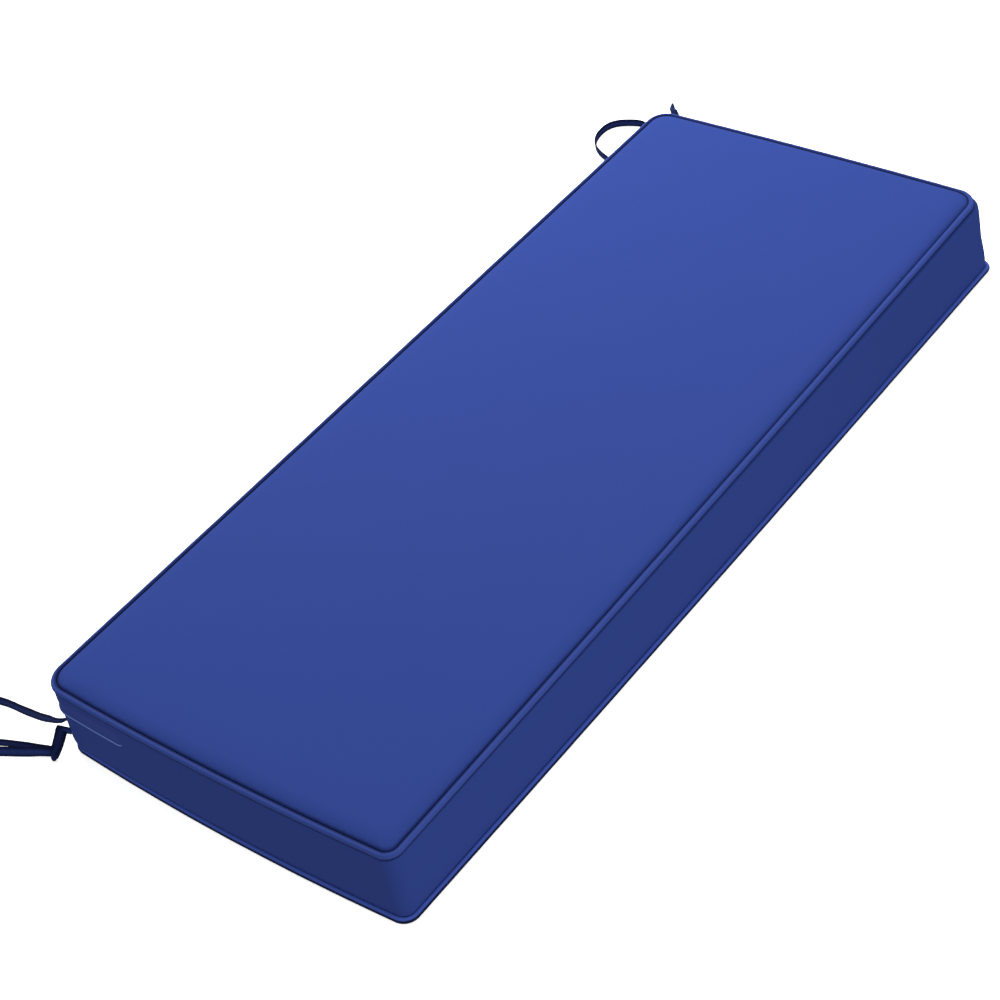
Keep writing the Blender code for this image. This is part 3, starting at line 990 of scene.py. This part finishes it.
def cover_uv(points, quads, rings, groups):
    """UV pairs in metres for every corner: cloth (x, y or along, height) and seam (along, beyond).

    Beyond is the distance along the section from the end of the nearer groove, 0 inside a groove
    and below 0 on the boxing.
    """
    count = rings.shape[1]
    top_ring = rings[(groups[3] + groups[4]) // 2]
    along = travelled(np.concatenate((top_ring, top_ring[:1])))
    section = travelled(np.stack((rings[:, 0, 0], 0 * rings[:, 0, 0], rings[:, 0, 2]), 1))
    ends = section[[groups[1], groups[2] - 1, groups[3], groups[4] - 1]]
    outside = np.maximum(0.0, np.maximum(ends[0] - section, section - ends[3]))
    inside = np.maximum(0.0, np.minimum(section - ends[1], ends[2] - section))
    seam = corner_pairs(outside - inside, along)[:, ::-1]
    ring_points = points[quads[0].reshape(-1)]
    row = np.repeat(np.arange(len(rings) - 1), count * 4)
    boxing = (row >= groups[2] - 3) & (row <= groups[3] + 2)
    upright = np.stack((seam[:, 0], ring_points[:, 2]), 1)
    cloth = np.where(boxing[:, None], upright, ring_points[:, :2])
    inner_points = points[np.concatenate(quads[1:]).reshape(-1)]
    return {
        "cloth": np.concatenate((cloth, inner_points[:, :2])),
        "seam": np.concatenate((seam, np.full((len(inner_points), 2), (0.0, FAR_FROM_SEAM)))),
    }


def swayed(points, sizes):
    """Soft unevenness of the filling: points moved by sines of their place, under a millimetre.

    The panel rises and falls with two crossed waves once it is clear of the seam, and the boxing
    goes in and out between the seams as sin(pi * share of the height).
    """
    x, y, z = points.T
    start, fade = CLEAR_OF_SEAM
    clear = np.clip((z - sizes.top_seam - start) / fade, 0, 1)
    hills = ripple(x + 0.4 * y, PANEL_WAVES[0], 21) + ripple(y - 0.3 * x, PANEL_WAVES[1], 22)
    span = sizes.top_seam - sizes.bottom_seam
    share = np.clip((z - sizes.bottom_seam) / span, 0, 1)
    waves = ripple(x - y + 0.7 * z, BOXING_WAVES, 23)
    reach = np.stack((x / (sizes.length / 2), y / (sizes.width / 2)), 1)
    outward = np.sign(reach) * np.abs(reach) ** 12
    outward /= np.maximum(1.0, np.linalg.norm(outward, axis=1, keepdims=True))
    moved = np.column_stack((x, y, z + PANEL_SWAY * MM * clear * hills))
    moved[:, :2] += outward * (BOXING_SWAY * MM * np.sin(math.pi * share) ** 2 * waves)[:, None]
    return moved


class CUSHION_OT_cover(bpy.types.Operator):
    """Makes the filled cover: both panels and the boxing as one closed surface"""

    bl_idname = "cushion.cover"
    bl_label = "Filled cover"

    def execute(self, context):
        sizes = context.scene.cushion_sizes
        points, quads, rings, groups = cover_surface(COVER_STEPS, sizes)
        uv = cover_uv(points, quads, rings, groups)
        points = swayed(points, sizes)
        cover = make_mesh("cover", points, np.concatenate(quads), finish_named("cover_cloth"), uv=uv)
        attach(cover, BODY)
        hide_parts("cushion_body")
        return {"FINISHED"}


# ---------------------------------------------------------------------------------------------
# Piping


PIPING_SIDES = 16
PIPING_WAVES = (23, 41, 67, 113)  # waves of its unevenness, to one turn of the seam
PIPING_SWELL = 0.02  # share of the radius
PIPING_HELD = 0.012  # share of the radius by which each stitch pulls it in
PIPING_DRIFT = 0.00012  # up and down, in m


def piping_surface(share, height, sizes, seed):
    """A tube round the seam: circle of the piping's radius carried along the seam's outline.

    The radius swells and narrows by a few hundredths along it, once for each stitch too, and the
    line wanders by about a tenth of a millimetre up and down, as a hand-guided seam does.
    """
    line = seam_line(share, 0.0, PIPING_STEPS, sizes)
    path = np.column_stack((line, np.full(len(line), height)))
    _, upright, sideways = path_frame(path, closed=True)
    along = travelled(path)
    total = along[-1] + np.linalg.norm(path[-1] - path[0])
    waves = [total / count for count in PIPING_WAVES]
    drift = ripple(along, waves, seed)[:, None]
    held = np.cos(2 * math.pi * along / (total / round(total / SEAM_STITCH)))[:, None]
    swell = PIPING_SWELL * ripple(along, waves, seed + 1)[:, None] + PIPING_HELD * held
    radius = sizes.piping_radius * (1 + swell)
    path = path + upright * drift * PIPING_DRIFT
    turn = np.linspace(0, 2 * math.pi, PIPING_SIDES, endpoint=False)[None, :]
    out, rise = radius * np.cos(turn), radius * np.sin(turn)
    points = path[:, None] - out[..., None] * sideways[:, None] + rise[..., None] * upright[:, None]
    quads = grid_quads(len(path), PIPING_SIDES, closed_rows=True, closed_columns=True)
    around = np.linspace(0, 2 * math.pi * sizes.piping_radius, PIPING_SIDES + 1)
    return points, quads, corner_pairs(np.append(along, total), around)


class CUSHION_OT_piping(bpy.types.Operator):
    """Makes the bias-cut piping in the top and the bottom seam"""

    bl_idname = "cushion.piping"
    bl_label = "Piping"

    def execute(self, context):
        sizes = context.scene.cushion_sizes
        table = (
            # name, CAD node, share of the height, height, seed
            ("top_welt", "top_piping", TOP, sizes.top_seam, 3),
            ("bottom_welt", "bottom_piping", BOTTOM, sizes.bottom_seam, 8),
        )
        for name, node, share, height, seed in table:
            points, quads, uv = piping_surface(share, height, sizes, seed)
            welt = make_mesh(name, points, quads, finish_named(node), uv={"cloth": uv})
            close_outwards(welt)
            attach(welt, BODY)
            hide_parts(node)
        return {"FINISHED"}


# ---------------------------------------------------------------------------------------------
# Ties


TAPE_SIDES = 20
TAPE_STEP = 0.0015
END_ROUNDING = 0.005
END_WIDTH = 0.25  # share of the width left at the very end
THREAD_STEPS = 5  # points round a stitch's thread, and stops along it
THREAD_RADIUS = 0.00028
STITCH_SHARE = 0.8  # of the stitch's length that its thread fills
STITCH_START = 0.002
ROOT_TUCK = 0.0025  # how far the tape's root goes on into the seam, behind the start of its route


def tape_profile(sizes):
    """Closed section of the folded tape, as across, out pairs.

    A squared oval, cos^0.8 across by sin^0.5 out, pressed in where the two rows of stitches run.
    """
    turn = np.linspace(0, 2 * math.pi, TAPE_SIDES, endpoint=False)
    cos, sin = np.cos(turn), np.sin(turn)
    across = sizes.width / 2 * np.sign(cos) * np.abs(cos) ** 0.8
    out = sizes.thickness / 2 * np.sign(sin) * np.abs(sin) ** 0.5
    pressed = np.exp(-(((np.abs(across) - sizes.edge) / 0.0007) ** 2))
    return across, out * (1 - 0.35 * pressed)


def tape_frame(path, turns):
    """The tape's width and thickness directions along its path, turned as its table says."""
    tangent, upright, _ = path_frame(path)
    table = np.array(turns, float)
    angle = np.radians(np.interp(travelled(path) / MM, table[:, 0], table[:, 1]))
    across = turned_about(upright, tangent, angle)
    return across, np.cross(tangent, across)


def tape_surface(path, turns, sizes):
    """The tape's section carried along its path and closed at both ends.

    Over its last millimetres its width shrinks as a quarter circle does, to a rounded end, and its
    root goes straight on into the seam.
    """
    across, out = tape_frame(path, turns)
    path = path.copy()
    path[0] += (path[0] - path[1]) / np.linalg.norm(path[0] - path[1]) * ROOT_TUCK
    profile_across, profile_out = tape_profile(sizes)
    along = travelled(path)
    to_end = np.clip((along[-1] - along) / END_ROUNDING, 0, 1)
    draw = np.maximum(END_WIDTH, np.sqrt(1 - (1 - to_end) ** 2))[:, None]
    points = (
        path[:, None]
        + (profile_across[None] * draw)[..., None] * across[:, None]
        + (profile_out[None] * draw**0.5)[..., None] * out[:, None]
    )
    quads = grid_quads(len(path), TAPE_SIDES, closed_columns=True)
    last = (len(path) - 1) * TAPE_SIDES
    caps = (range(TAPE_SIDES)[::-1], range(last, last + TAPE_SIDES))
    uv = corner_pairs(along, np.append(profile_across, profile_across[0]))
    cap_uv = np.tile(np.column_stack((0 * profile_across, profile_across)), (2, 1))
    return points, quads, caps, np.concatenate((uv, cap_uv))


def stitch_surface(path, turns, sizes):
    """Both rows of stitches on both faces: small closed threads that dip in at their ends.

    Each thread is a ring of points swept over its stops; its height over the tape is the sine of
    its share of the stitch, and its radius narrows at both ends.
    """
    across, out = tape_frame(path, turns)
    tangent = np.cross(across, out)
    along = travelled(path)
    starts = np.arange(STITCH_START, along[-1] - sizes.stitch, sizes.stitch)
    share = np.linspace(0, 1, THREAD_STEPS)
    ring = np.linspace(0, 2 * math.pi, THREAD_STEPS, endpoint=False)
    rows, faces = np.meshgrid((-1, 1), (-1, 1), indexing="ij")
    rows, faces = rows.ravel()[:, None, None], faces.ravel()[:, None, None]
    where = starts[None, :, None] + share[None, None, :] * sizes.stitch * STITCH_SHARE
    where, rows, faces = np.broadcast_arrays(where, rows, faces)
    arch = np.sin(math.pi * np.broadcast_to(share, where.shape))
    lift = sizes.thickness * (0.30 + 0.12 * arch)

    def at(values):
        return np.stack([np.interp(where, along, values[:, axis]) for axis in range(3)], -1)

    side, face, forward = at(across), at(out), at(tangent)
    middle = at(path) + side * (rows * sizes.edge)[..., None] + face * (faces * lift)[..., None]
    radius = THREAD_RADIUS * (0.55 + 0.45 * arch)
    circle = np.cos(ring)[:, None] * side[..., None, :] + np.sin(ring)[:, None] * face[..., None, :]
    points = middle[..., None, :] + radius[..., None, None] * circle
    threads = points.reshape(-1, THREAD_STEPS**2, 3)
    single = grid_quads(THREAD_STEPS, THREAD_STEPS, closed_columns=True).reshape(-1, 4)
    offsets = THREAD_STEPS**2 * np.arange(len(threads))
    quads = (offsets[:, None, None] + single).reshape(-1, 4)
    first = offsets[:, None] + np.arange(THREAD_STEPS)
    caps = np.concatenate((first[:, ::-1], first + THREAD_STEPS * (THREAD_STEPS - 1)))
    return threads, quads, caps.tolist()


class CUSHION_OT_ties(bpy.types.Operator):
    """Makes the tape ties at the rear corners, with their stitched edges"""

    bl_idname = "cushion.ties"
    bl_label = "Tape ties"

    def execute(self, context):
        sizes = context.scene.tie_sizes
        for name, route, length, nodes, turns, knot in TIES:
            path = even_route(route, TAPE_STEP)
            points, quads, caps, uv = tape_surface(path, turns, sizes)
            finish = finish_named("tie_tape")
            tape = make_mesh("tape_" + name, points, quads, finish, caps, {"cloth": uv})
            close_outwards(tape)
            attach(tape, BODY)
            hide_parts(*nodes)
            threads, quads, caps = stitch_surface(path, turns, sizes)
            finish = finish_named("sewing_thread")
            stitches = make_mesh("stitches_" + name, threads, quads, finish, caps)
            close_outwards(stitches)
            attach(stitches, BODY)
            carried = [stitches] + ([bpy.data.objects[knot]] if knot else [])
        return {"FINISHED"}


def knot_turn(middle, axis, outward, reach, depth, width, taper, sizes):
    """One turn of tape round the knot: the tape's section carried round a flattened ring.

    The ring goes sign(cos t) |cos t|^0.8 * reach along the axis and sign(sin t) |sin t|^0.75 * depth
    outwards. The tape narrows towards the tip by taper * ((1 + cos t) / 2)^4, and its edges curl in
    with the distance from its middle to the power 2.5.
    """
    turn = np.linspace(0, 2 * math.pi, KNOT_STEPS, endpoint=False)
    cos, sin = np.cos(turn), np.sin(turn)
    along = np.sign(cos) * np.abs(cos) ** 0.8 * reach
    deep = np.sign(sin) * np.abs(sin) ** 0.75 * depth
    path = middle + along[:, None] * axis + deep[:, None] * outward
    normal = cos[:, None] * axis / reach + sin[:, None] * outward / depth
    normal /= np.linalg.norm(normal, axis=1, keepdims=True)
    across, out = tape_profile(sizes)
    scale = width / sizes.width
    curl = -0.4 * sizes.thickness * (np.abs(across) / (sizes.width / 2)) ** 2.5
    narrowed = 1 - taper * ((1 + cos) / 2) ** 4 + 0.03 * np.sin(2 * turn + 1.1)
    sideways = np.cross(axis, outward)
    points = path[:, None] + (across * scale * narrowed[:, None])[..., None] * sideways
    return points + (out + curl)[None, :, None] * normal[:, None]


class CUSHION_OT_knots(bpy.types.Operator):
    """Makes the two pulled-tight knots as turns of the same tape, one round the other"""

    bl_idname = "cushion.knots"
    bl_label = "Knots"

    def execute(self, context):
        sizes = context.scene.tie_sizes
        quads = grid_quads(KNOT_STEPS, TAPE_SIDES, closed_rows=True, closed_columns=True)
        quads = quads.reshape(-1, 4)
        across, _ = tape_profile(sizes)
        pairs = corner_pairs(np.arange(KNOT_STEPS + 1) * MM, np.append(across, across[0]))
        for name, node, middle, tip, half_depth, turns in KNOTS:
            middle, tip = np.array(middle) * MM, np.array(tip) * MM
            half_length = np.linalg.norm(tip)
            axis = tip / half_length
            outward = np.cross(axis, np.cross(KNOT_FACING, axis))
            outward /= np.linalg.norm(outward)
            sideways = np.cross(axis, outward)
            parts = []
            for place, length, depth, width, lean, taper in turns:
                angle = math.radians(lean)
                leaning = axis * math.cos(angle) + sideways * math.sin(angle)
                centre = middle + axis * place * half_length
                reach = half_length * length - sizes.thickness / 2
                deep = half_depth * MM * depth - sizes.thickness / 2
                parts.append(knot_turn(centre, leaning, outward, reach, deep, width * MM, taper, sizes))
            faces = np.concatenate([quads + KNOT_STEPS * TAPE_SIDES * i for i in range(len(parts))])
            maps = {"cloth": np.tile(pairs, (len(parts), 1))}
            knot = make_mesh(name, np.stack(parts), faces, finish_named("knot_tape"), uv=maps)
            close_outwards(knot)
            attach(knot, BODY)
            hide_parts(node)
        return {"FINISHED"}


# ---------------------------------------------------------------------------------------------
# Zip flap


FLAP_SECTION = (
    # name, share of the flap's height above its fold, out from the boxing in mm
    ("seam, inside", 1.0, -0.7),
    ("seam", 0.93, -0.15),
    ("band", 0.6, 0.15),
    ("band", 0.3, 0.3),
    ("above the fold", 0.13, 0.55),
    ("fold", 0.065, 1.25),
    ("fold", 0.02, 1.9),
    ("under the fold", -0.015, 1.7),
    ("under the fold", -0.03, 0.7),
    ("behind", -0.01, -0.7),
)


FLAP_ROWS = 25
FLAP_SINK = 0.005  # length over which the flap's ends sink into the boxing
FLAP_UNDER = 0.0007  # how far they lie in it at last


def rear_stretch(plans, end_y):
    """The stretch of closed outlines behind y = end_y, cut off there on both short ends."""
    plans = np.roll(plans, -int(np.argmin(plans[0, :, 1])), axis=1)
    behind = np.flatnonzero(plans[0, :, 1] > end_y)
    ends = []
    for inner, outer in ((behind[0], behind[0] - 1), (behind[-1], behind[-1] + 1)):
        share = (end_y - plans[:, outer, 1]) / (plans[:, inner, 1] - plans[:, outer, 1])
        ends.append(mix(plans[:, outer], plans[:, inner], share[:, None])[:, None])
    return np.concatenate((ends[0], plans[:, behind], ends[1]), axis=1)


def flap_surface(sizes):
    """The flap's section carried round the rear boxing, sinking into it at both ends as s^2."""
    section = np.array([row[1:] for row in FLAP_SECTION])
    knots = travelled(section * (sizes.flap_height / MM, 1.0))
    fine = cubic_through(knots, section, np.linspace(0, knots[-1], FLAP_ROWS))
    heights = sizes.zip_line + fine[:, 0] * sizes.flap_height
    span = sizes.top_seam - sizes.bottom_seam
    shares = (heights - sizes.bottom_seam) / span
    drawn, swells = boxing_section(shares, sizes)
    plans = outlines(shares, drawn - fine[:, 1] * MM, swells, FLAP_STEPS, sizes)
    resting = outlines(shares, drawn + FLAP_UNDER, swells, FLAP_STEPS, sizes)
    lines = rear_stretch(np.concatenate((plans, resting)), sizes.flap_end)
    lines, under = lines[: len(plans)], lines[len(plans) :]
    along = travelled(lines[0])
    from_end = np.minimum(along, along[-1] - along)
    sink = np.clip(1 - from_end / FLAP_SINK, 0, 1)[None, :, None] ** 2
    lines = mix(lines, under, sink)
    points = np.concatenate((lines, np.broadcast_to(heights[:, None, None], (*lines.shape[:2], 1))), 2)
    points = points.transpose(1, 0, 2)
    quads = grid_quads(len(along), len(heights), closed_columns=True)
    last = (len(along) - 1) * len(heights)
    caps = (range(len(heights))[::-1], range(last, last + len(heights)))
    above = heights - sizes.zip_line
    uv = corner_pairs(along, np.append(above, above[0]))
    cap_uv = np.tile(np.column_stack((0 * above, above)), (2, 1))
    return points, quads, caps, np.concatenate((uv, cap_uv))


class CUSHION_OT_flap(bpy.types.Operator):
    """Makes the folded flap over the zip, round the rear of the boxing"""

    bl_idname = "cushion.flap"
    bl_label = "Zip flap"

    def execute(self, context):
        sizes = context.scene.cushion_sizes
        points, quads, caps, uv = flap_surface(sizes)
        flap = make_mesh("zip_placket", points, quads, finish_named("flap_cloth"), caps, {"cloth": uv})
        close_outwards(flap)
        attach(flap, BODY)
        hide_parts("zip_flap")
        return {"FINISHED"}


# ---------------------------------------------------------------------------------------------
# Stage


FLOOR_HALF = 7.0
SENSOR = 36.0
CLIP = (0.05, 60.0)
LIGHTS = (
    # name, size m, place, target, setting with its power
    ("key", 1.6, (1.0, 1.8, 1.6), (0.2, 0.0, 0.0), "key_power"),
    ("right_end", 1.0, (1.1, 0.3, 1.7), (0.6, 0.0, 0.0), "end_power"),
    ("front", 1.6, (-0.45, -2.3, 0.9), (0.0, 0.0, 0.0), "front_power"),
)


def camera_matrix(stage):
    """Camera that looks at the target from azimuth and elevation, rolled about its own axis."""
    azimuth, elevation = stage.azimuth, stage.elevation
    back = np.array(
        (
            math.sin(azimuth) * math.cos(elevation),
            -math.cos(azimuth) * math.cos(elevation),
            math.sin(elevation),
        )
    )
    level = np.cross(-back, UP)
    level /= np.linalg.norm(level)
    above = np.cross(level, -back)
    right = level * math.cos(stage.roll) + above * math.sin(stage.roll)
    high = -level * math.sin(stage.roll) + above * math.cos(stage.roll)
    place = np.array(stage.target) + back * stage.distance
    rows = np.column_stack((right, high, back, place))
    return Matrix((*rows.tolist(), (0.0, 0.0, 0.0, 1.0)))


class CUSHION_OT_stage(bpy.types.Operator):
    """Sets up the camera, the plain pale floor and the soft studio lights"""

    bl_idname = "cushion.stage"
    bl_label = "Stage"

    def execute(self, context):
        scene = context.scene
        stage = scene.cushion_stage
        camera = bpy.data.objects.new("camera", bpy.data.cameras.new("camera"))
        scene.collection.objects.link(camera)
        camera.data.lens = stage.lens
        camera.data.sensor_width = SENSOR
        camera.data.clip_start, camera.data.clip_end = CLIP
        camera.matrix_world = camera_matrix(stage)
        scene.camera = camera

        corners = np.array([(-1, -1, 0), (1, -1, 0), (1, 1, 0), (-1, 1, 0)]) * FLOOR_HALF
        floor = make_mesh("floor", corners, np.arange(4)[None], finish_named("studio_floor"))
        floor.visible_diffuse = floor.visible_glossy = False

        for name, size, place, target, power in LIGHTS:
            light = bpy.data.lights.new(name, "AREA")
            light.shape = "DISK"
            light.size = size
            light.energy = getattr(stage, power)
            lamp = bpy.data.objects.new(name, light)
            scene.collection.objects.link(lamp)
            facing = Vector(place) - Vector(target)
            turned = facing.to_track_quat("Z", "Y").to_matrix().to_4x4()
            lamp.matrix_world = Matrix.Translation(place) @ turned

        world = bpy.data.worlds.new("studio")
        world.use_nodes = True
        even = Nodes(world.node_tree)
        direction = even.node("ShaderNodeTexCoord", output="Generated")
        height = even.node("ShaderNodeSeparateXYZ", sockets={0: direction}, output="Z")
        sockets = {"Value": height, "From Min": -0.1, "From Max": 0.1}
        sockets |= {"To Min": stage.ground, "To Max": stage.sky}
        strength = even.node("ShaderNodeMapRange", sockets=sockets)
        background = world.node_tree.nodes["Background"].inputs
        background["Color"].default_value = (1.0, 1.0, 1.0, 1.0)
        world.node_tree.links.new(strength.socket, background["Strength"])
        scene.world = world
        scene.view_settings.view_transform = "Standard"
        return {"FINISHED"}


OPERATORS = (
    CUSHION_OT_stage,
    CUSHION_OT_knots,
    CUSHION_OT_ties,
    CUSHION_OT_cover,
    CUSHION_OT_piping,
    CUSHION_OT_flap,
)


class CUSHION_PT_panel(bpy.types.Panel):
    """Lists the steps that build the cushion"""

    bl_label = "Bench Cushion"
    bl_idname = "CUSHION_PT_panel"
    bl_space_type = "VIEW_3D"
    bl_region_type = "UI"
    bl_category = "Cushion"

    def draw(self, context):
        for key in GROUPS:
            group = getattr(context.scene, key)
            for name in group.__annotations__:
                self.layout.prop(group, name)
        for operator in OPERATORS:
            self.layout.operator(operator.bl_idname)


GROUPS = {
    "cushion_sizes": CushionSizes,
    "tie_sizes": TieSizes,
    "cushion_finishes": Finishes,
    "cushion_stage": StageSettings,
}


def register():
    for group in (*GROUPS.values(), *OPERATORS, CUSHION_PT_panel):
        bpy.utils.register_class(group)
    for name, group in GROUPS.items():
        setattr(bpy.types.Scene, name, PointerProperty(type=group))


def unregister():
    for name in GROUPS:
        delattr(bpy.types.Scene, name)
    for group in (CUSHION_PT_panel, *OPERATORS[::-1], *GROUPS.values()):
        bpy.utils.unregister_class(group)


def main():
    register()
    bpy.ops.cushion.stage()
    bpy.ops.cushion.knots()
    bpy.ops.cushion.ties()
    bpy.ops.cushion.cover()
    bpy.ops.cushion.piping()
    bpy.ops.cushion.flap()


if __name__ == "__main__":
    main()
